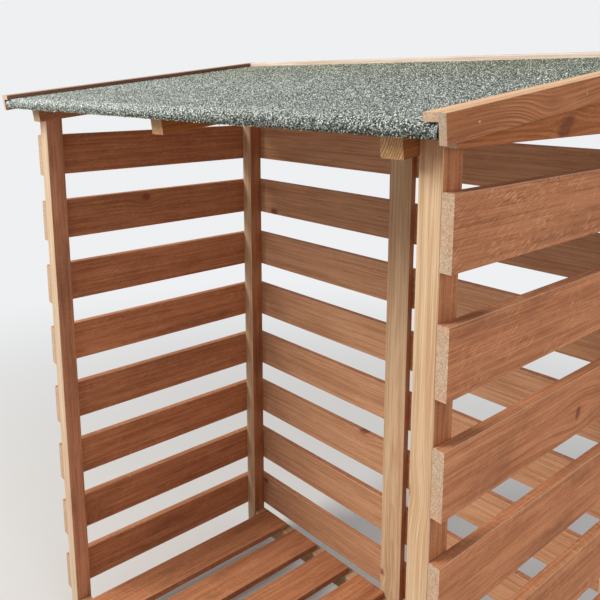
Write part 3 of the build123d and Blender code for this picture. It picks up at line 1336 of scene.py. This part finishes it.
    def tone_group(self) -> bpy.types.NodeTree:
        """Shader group for the colour of a granule, by chance, with painted light and shade by where it lies.

        Returns:
            The group.
        """
        w = Group("granule_tone",
                  {Plug.NUMBER: ("Shade",), Plug.VECTOR: ("Position",),
                   Plug.COLOUR: ("Dark", "Middle", "Pale", "Bright")}, {Plug.COLOUR: ("Colour",)})
        colour = w.given["Dark"]
        for label, low, high in (("Middle", 0.24, 0.38), ("Pale", 0.48, 0.76), ("Bright", 0.82, 0.91)):
            colour = w.cover(colour, w.given[label], w.given["Shade"], low, high)

        position = w.given["Position"]
        side, depth, _ = w.parts(position)
        above = w.minus(w.dot(position, OFF_THE_ROOF), Vector(OFF_THE_ROOF).dot(self.rear_top))
        # Painted light of the slope, times painted shade that darkens the drip edge toward its foot.
        strength = w.times(self.brightness(w, position, side),
                           w.ramp(above, -self.drip_below_top, -0.001, *self.drip_shade_tones, smooth=False))
        colour = w.tinted(colour, w.vector(strength, strength, strength), clamp=True)
        colour = w.cover(colour, w.tinted(colour, self.finish.foot_tint), above,
                         -0.010, -self.drip_below_top, 0.8)
        # Painted reflection: a pale bluish strip at each end of the felt, near the nose.
        end_reflection_mask = w.times(w.ramp(side, self.half - 0.0046, self.half - 0.0028), w.ramp(above, -0.012, -0.008))
        colour = w.mix(w.times(end_reflection_mask, 0.6), colour, self.finish.end_reflection)

        # Darker and yellower towards the rear, in patches.
        patches = w.ramp(w.blur(position, 5.0, 3.0), 0.35, 0.65, 0.6, 1.0)
        toward_rear = w.times(w.ramp(depth, -0.15, 0.24), patches)
        return w.finish({"Colour": w.mix(toward_rear, colour, w.tinted(colour, self.finish.rear_tint))})

    def brightness(self, w: Group, position: Socket, side: Socket) -> Socket:
        """How bright the granules are over the roof's length and slope: painted light brighter to the left,
        painted highlights before the nose, painted shade in a hollow, and random clumps.

        Args:
            w: the group's wires.
            position: where the granule lies.
            side: how far to the right that is.

        Returns:
            A factor for their colours.
        """
        eaves = self.rear_top - Vector(UP_THE_ROOF) * self.front_run
        behind = w.minus(w.dot(position, UP_THE_ROOF), Vector(UP_THE_ROOF).dot(eaves))
        # Painted shade in a hollow of the slope, on the left.
        hollow_shade = w.times(self.hollow_shade.mask(w, behind), w.ramp(side, 0.05, -0.30, 0.0, self.hollow_shade_depth))
        # Painted light: the slope brighter to the left than to the right.
        flat = w.minus(w.ramp(side, -0.45, 0.40, *self.slope_light_tones), hollow_shade)
        peak = w.ramp(side, -0.15, 0.20, *self.crest_highlight_tones)
        # Painted highlight along the line before the nose.
        strength = w.scaled(self.crest_highlight.mask(w, behind), w.minus(peak, flat), flat)
        # A further painted highlight just behind the eaves, on the left.
        front_highlight_strength = w.times(self.front_highlight.mask(w, behind), w.ramp(side, 0.0, 0.25, self.front_highlight_gain, 0.0))
        clumps = w.ramp(w.blur(position, 260.0, 1.0), 0.40, 0.60, *self.clump_tones)
        clumped = w.times(w.ramp(side, 0.25, -0.15), w.ramp(behind, 0.06, 0.02))
        return w.times(w.plus(strength, front_highlight_strength), w.scaled(clumped, w.minus(clumps, 1.0), 1.0))

    def tones(self, w: Wires, group: bpy.types.NodeTree, shade: Socket, position: Socket) -> Socket:
        """Colour of the granules in one material.

        Args:
            w: the material's wires.
            group: the shader group for granule colours.
            shade: a random value for the granule.
            position: where it lies.

        Returns:
            Its colour.
        """
        feeds = {"Shade": shade, "Position": position, "Dark": self.finish.dark, "Middle": self.finish.middle,
                 "Pale": self.finish.pale, "Bright": self.finish.bright}
        return w.add("ShaderNodeGroup", feeds, node_tree=group).outputs["Colour"]

    def felt_material(self, group: bpy.types.NodeTree) -> bpy.types.Material:
        """Felt whose granules are in the shader, over black bitumen.

        Args:
            group: the shader group for granule colours.

        Returns:
            The material.
        """
        material, w, shader = start_material("mineral_felt")
        coordinates = w.add("ShaderNodeTexCoord").outputs
        position = coordinates["Object"]
        cells = w.add("ShaderNodeTexVoronoi", {"Vector": position, "Scale": 1.0 / self.finish.granule},
                      voronoi_dimensions="3D", feature="F1").outputs
        shade = w.parts(cells["Color"])[0]
        broad = w.ramp(w.blur(position, 14.0, 3.0), 0.3, 0.7, -0.07, 0.07)
        colour = self.tones(w, group, w.plus(shade, broad), position)
        colour = w.cover(colour, self.finish.bitumen, cells["Distance"], 0.40, 0.66, 0.9)
        side, front, up = w.parts(coordinates["Normal"])
        outer = w.times(w.ramp(w.minus(up, front), 0.2, 0.5),
                        w.left_over(w.ramp(w.work("ABSOLUTE", side), 0.6, 0.8)))
        w.feed(shader.inputs["Base Color"], w.mix(outer, self.finish.bitumen, colour))
        w.feed(shader.inputs["Roughness"], self.finish.roughness)
        w.feed(shader.inputs["Normal"], w.bump(w.minus(w.times(shade, 0.5), cells["Distance"]), 1.0, 0.0020))
        return material

    def stone_material(self, group: bpy.types.NodeTree) -> bpy.types.Material:
        """The loose granules' material, one shade for each stone.

        Args:
            group: the shader group for granule colours.

        Returns:
            The material.
        """
        material, w, shader = start_material("felt_granules")
        shade = w.add("ShaderNodeAttribute", attribute_name="stone_shade").outputs["Fac"]
        position = w.add("ShaderNodeTexCoord").outputs["Object"]
        fine = w.ramp(w.blur(position, 900.0, 1.0), 0.3, 0.7, -0.08, 0.08)
        w.feed(shader.inputs["Base Color"], self.tones(w, group, w.plus(shade, fine), position))
        w.feed(shader.inputs["Roughness"], self.finish.stone_roughness)
        return material

    def build(self) -> None:
        """Make the sheet and the strewings, and let them ride on the store."""
        group = self.tone_group()
        sheet = self.build_sheet()
        sheet.data.materials.append(self.felt_material(group))
        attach(sheet, "root")
        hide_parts("roof_felt")
        log.info("felt sheet: %d faces", len(sheet.data.polygons))
        stones = self.stone_material(group)
        tree = self.granule_tree()
        for seed, band in enumerate(self.bands, start=5):
            inputs = {"Size": band.size, "Density": band.density, "Seed": seed, "Finish": stones}
            strewn = run_geometry(self.band_surface(band), tree, band.name, inputs)
            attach(strewn, "root")
            log.info("%s: %d faces", band.name, len(strewn.data.polygons))


@dataclass
class Nails:
    """Rows of small nail heads, set where boards cross what carries them.

    Attributes:
        head_radius, head_height, head_sides: a head, which is a flat cone.
        rim_share: its top's radius beside its own.
        first_from_end, last_from_end, spacing: places of the nails along a barge board.
        below_edge: how far below a barge board's upper edge they are.
        board_top_inset, board_inset: how far in from a board's upper and lower edge.
        slats: how many slats the floor has.
        back_lean, slat_lean: how far the nails stray from their line.
        seed: what their sizes depend on.
    """

    finish: NailFinish = NailFinish()
    head_radius: float = 0.0021
    head_height: float = 0.0004
    head_sides: int = 14
    rim_share: float = 0.72
    first_from_end: float = 0.053
    last_from_end: float = 0.02
    spacing: float = 0.21
    below_edge: float = 0.0165
    board_top_inset: float = 0.024
    board_inset: float = 0.02
    slats: int = 8
    back_lean: float = 0.006
    slat_lean: float = 0.004
    seed: int = 3

    def head_tree(self) -> bpy.types.NodeTree:
        """Geometry tree that sets a domed head on each point.

        Returns:
            The tree.
        """
        w = Group("nail_heads",
                  {Plug.SHAPE: ("Places",), Plug.NUMBER: ("Radius", "Height"), Plug.VECTOR: ("Turn",),
                   Plug.WHOLE: ("Seed",), Plug.MATERIAL: ("Finish",)}, {Plug.SHAPE: ("Nails",)},
                  kind="GeometryNodeTree")
        points = w.add("GeometryNodeMeshToPoints", {"Mesh": w.given["Places"]})
        head = w.add("GeometryNodeMeshCone",
                     {"Vertices": self.head_sides, "Side Segments": 1,
                      "Radius Top": w.times(w.given["Radius"], self.rim_share),
                      "Radius Bottom": w.given["Radius"], "Depth": w.given["Height"]}, fill_type="NGON")
        jitter = w.add("FunctionNodeRandomValue", {2: 0.9, 3: 1.12, "Seed": w.given["Seed"]},
                       data_type="FLOAT")
        heads = w.add("GeometryNodeInstanceOnPoints",
                      {"Points": points.outputs[0], "Instance": head.outputs["Mesh"],
                       "Rotation": w.given["Turn"], "Scale": jitter.outputs[1]})
        return w.finish_shape("Nails", heads.outputs[0])

    def material(self) -> bpy.types.Material:
        """Dull metal with specks of rust.

        Returns:
            The material.
        """
        material, w, shader = start_material("nail_heads")
        position = w.add("ShaderNodeTexCoord").outputs["Object"]
        rust = w.ramp(w.blur(position, 420.0, 3.0), 0.42, 0.62)
        w.feed(shader.inputs["Base Color"], w.mix(rust, self.finish.metal, self.finish.rust))
        w.feed(shader.inputs["Metallic"], w.left_over(rust))
        w.feed(shader.inputs["Roughness"], w.scaled(rust, self.finish.rust_roughness, self.finish.roughness))
        return material

    def barge_places(self, side: int) -> list[Vector]:
        """Nail places along one barge board.

        Args:
            side: 1 for the right one, -1 for the left one.

        Returns:
            The places.
        """
        low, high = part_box("barge_board_right" if side > 0 else "barge_board_left")
        face = (high.x if side > 0 else low.x) + side * self.head_height / 2
        length = high.y - low.y
        places = []
        run = self.first_from_end
        while run < length - self.last_from_end:
            edge = high.z - (length - run) * math.tan(ROOF_FALL)
            places.append(Vector((face, low.y + run, edge - self.below_edge)))
            run += self.spacing
        return places

    def back_places(self) -> list[Vector]:
        """Two nails where each back board crosses an upright.

        Returns:
            The places.
        """
        low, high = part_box("back_boards")
        first_low, first_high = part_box("side_board_right_1")
        pitch = first_high.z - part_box("side_board_right_2")[1].z
        board = first_high.z - first_low.z
        tops = [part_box("back_rail")[1].z]
        top = first_high.z
        while top > low.z + board / 2:
            tops.append(top)
            top -= pitch
        uprights = [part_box(name) for name in ("post_rear_left", "back_batten", "post_rear_right")]
        places = []
        for top in tops:
            for post_low, post_high in uprights:
                middle = (post_low.x + post_high.x) / 2
                for drop in (self.board_top_inset, board - self.board_inset):
                    lean = self.back_lean * noise.noise(Vector((middle * 40, top * 50, drop * 90)))
                    places.append(Vector((middle + lean, high.y + self.head_height / 2, top - drop + lean)))
        return places

    def slat_places(self) -> list[Vector]:
        """Two nails at each end of every floor slat.

        Returns:
            The places.
        """
        low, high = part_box("floor_slats")
        board_low, board_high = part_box("side_board_right_1")
        width = board_high.z - board_low.z
        step = (high.x - low.x - width) / (self.slats - 1)
        front_low, front_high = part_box("floor_beam_front")
        rear_low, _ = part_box("floor_beam_rear")
        rows = ((front_low.y + front_high.y) / 2, (rear_low.y + high.y) / 2)
        places = []
        for index in range(self.slats):
            left = low.x + index * step
            for y in rows:
                for inset in (self.board_inset, width - self.board_inset):
                    lean = self.slat_lean * noise.noise(Vector((left * 60, y * 50, inset * 90)))
                    places.append(Vector((left + inset + lean, y + lean, high.z + self.head_height / 2)))
        return places

    def build(self) -> None:
        """Set every row of nails and let it ride on the store."""
        tree = self.head_tree()
        metal = self.material()
        rows = (("barge_nails_right", self.barge_places(1), Facing.RIGHT),
                ("barge_nails_left", self.barge_places(-1), Facing.LEFT),
                ("back_nails", self.back_places(), Facing.BACK),
                ("slat_nails", self.slat_places(), Facing.UP))
        for name, places, facing in rows:
            mesh = bmesh.new()
            for place in places:
                mesh.verts.new(place)
            inputs = {"Radius": self.head_radius, "Height": self.head_height, "Turn": facing.value,
                      "Seed": self.seed, "Finish": metal}
            heads = run_geometry(finish_mesh(name + "_places", mesh), tree, name, inputs)
            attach(heads, "root")
            log.info("%s: %d heads", name, len(places))


@dataclass(frozen=True)
class Lamp:
    """One square lamp: its name, where it stands, its side in metres, its watts and its tint."""

    name: str
    place: Point
    size: float
    power: float
    tint: Colour

    def light(self, target: Vector) -> None:
        """Set the lamp up.

        Args:
            target: what it looks at.
        """
        data = bpy.data.lights.new(self.name, "AREA")
        data.size = self.size
        data.energy = self.power
        data.color = self.tint
        lamp = add_object(self.name, data)
        lamp.location = self.place
        lamp.rotation_euler = (Vector(self.place) - target).to_track_quat("Z", "Y").to_euler()


@dataclass
class Studio:
    """Pale floor, soft light, and the camera at the photograph's angle.

    Attributes:
        camera_place, camera_turn, camera_dip: where the camera stands, and how it looks round and down,
            in degrees.
        focal_pixels, picture_pixels: its focal length and the picture's side.
        centre_row: row of the picture that its optical centre is on.
        film_width, nearest, farthest: its film in millimetres, and what it sees between, in metres.
        backdrop, floor_tone: colours of the backdrop and of the floor.
        floor_radius, floor_sides, fade: the floor's size, and where it runs out into the backdrop.
        sky, lamps, lit: the light from all round, the lamps, and the place that they look at.
    """

    camera_place: Point = (0.9662, -0.8587, 1.3149)
    camera_turn: float = 48.367
    camera_dip: float = 10.674
    focal_pixels: float = 706.1
    picture_pixels: float = 600.0
    centre_row: float = 215.0
    film_width: float = 36.0
    nearest: float = 0.02
    farthest: float = 200.0
    backdrop: Colour = (0.86, 0.87, 0.88)
    floor_tone: Colour = (0.62, 0.62, 0.615)
    floor_roughness: float = 0.9
    floor_radius: float = 14.0
    floor_sides: int = 96
    fade: Span = (0.9, 3.4)
    sky: float = 0.47
    lamps: tuple[Lamp, ...] = (
        Lamp("key", (-1.5, -2.9, 3.3), 1.8, 185.0, (1.0, 0.965, 0.91)),
        Lamp("fill", (3.4, -0.3, 1.9), 2.2, 42.0, (0.95, 0.97, 1.0)),
    )
    lit: Point = (0.0, 0.0, 0.8)

    def build_camera(self) -> None:
        """Set the camera from the fitted sizes."""
        data = bpy.data.cameras.new("camera")
        data.sensor_fit = "HORIZONTAL"
        data.sensor_width = self.film_width
        data.lens = self.film_width * self.focal_pixels / self.picture_pixels
        data.shift_y = (self.centre_row - self.picture_pixels / 2) / self.picture_pixels
        data.clip_start = self.nearest
        data.clip_end = self.farthest
        camera = add_object("camera", data)
        camera.location = self.camera_place
        camera.rotation_euler = (math.radians(90.0 - self.camera_dip), 0.0, math.radians(self.camera_turn))
        bpy.context.scene.camera = camera

    def build_world(self) -> None:
        """Soft light from all round, and a plain pale backdrop."""
        world = bpy.data.worlds.new("studio")
        bpy.context.scene.world = world
        world.use_nodes = True
        world.node_tree.nodes.clear()
        w = Wires(world.node_tree)
        soft = w.add("ShaderNodeBackground", {"Color": (1.0, 1.0, 1.0), "Strength": self.sky})
        seen = w.add("ShaderNodeBackground", {"Color": self.backdrop, "Strength": 1.0})
        rays = w.add("ShaderNodeLightPath").outputs
        straight = w.work("MAXIMUM", rays["Is Camera Ray"], rays["Is Glossy Ray"])
        straight = w.work("MAXIMUM", straight, rays["Is Transmission Ray"])
        choice = w.add("ShaderNodeMixShader", {0: straight, 1: soft.outputs[0], 2: seen.outputs[0]})
        w.add("ShaderNodeOutputWorld", {"Surface": choice.outputs[0]})

    def build_floor(self) -> None:
        """A wide floor that runs out into the backdrop."""
        mesh = bmesh.new()
        bmesh.ops.create_circle(mesh, cap_ends=True, segments=self.floor_sides, radius=self.floor_radius)
        floor = finish_mesh("studio_floor", mesh)
        material, w, shader = start_material("studio_floor")
        w.feed(shader.inputs["Base Color"], self.floor_tone)
        w.feed(shader.inputs["Roughness"], self.floor_roughness)
        position = w.add("ShaderNodeTexCoord").outputs["Object"]
        far = w.add("ShaderNodeVectorMath", {0: position}, operation="LENGTH").outputs["Value"]
        glow = w.add("ShaderNodeEmission", {"Color": self.backdrop})
        seen = w.add("ShaderNodeLightPath").outputs["Is Camera Ray"]
        choice = w.add("ShaderNodeMixShader",
                       {0: w.times(w.ramp(far, *self.fade), seen), 1: shader.outputs[0], 2: glow.outputs[0]})
        w.feed(material.node_tree.nodes["Material Output"].inputs["Surface"], choice.outputs[0])
        floor.data.materials.append(material)
        floor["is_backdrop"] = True

    def build(self) -> None:
        """Build the whole studio."""
        self.build_camera()
        self.build_world()
        self.build_floor()
        for lamp in self.lamps:
            lamp.light(Vector(self.lit))
        bpy.context.scene.view_settings.view_transform = "Standard"
        log.info("studio: camera, world, floor and %d lamps", len(self.lamps))


def write_sizes(after: object) -> None:
    """Define a helper that turns a box into plain lists; nothing is written.

    Args:
        after: not used.
    """
    def plain(box: object) -> list:
        """The box as plain lists."""
        return [[float(number) for number in corner] for corner in box]


def main() -> None:
    """Build the store's looks piece by piece."""
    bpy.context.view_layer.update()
    TimberWork(PineShading()).dress(frame["nodes"])
    RoofCover().build()
    Nails().build()
    Studio().build()
    write_sizes(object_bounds())


if __name__ == "__main__":
    main()
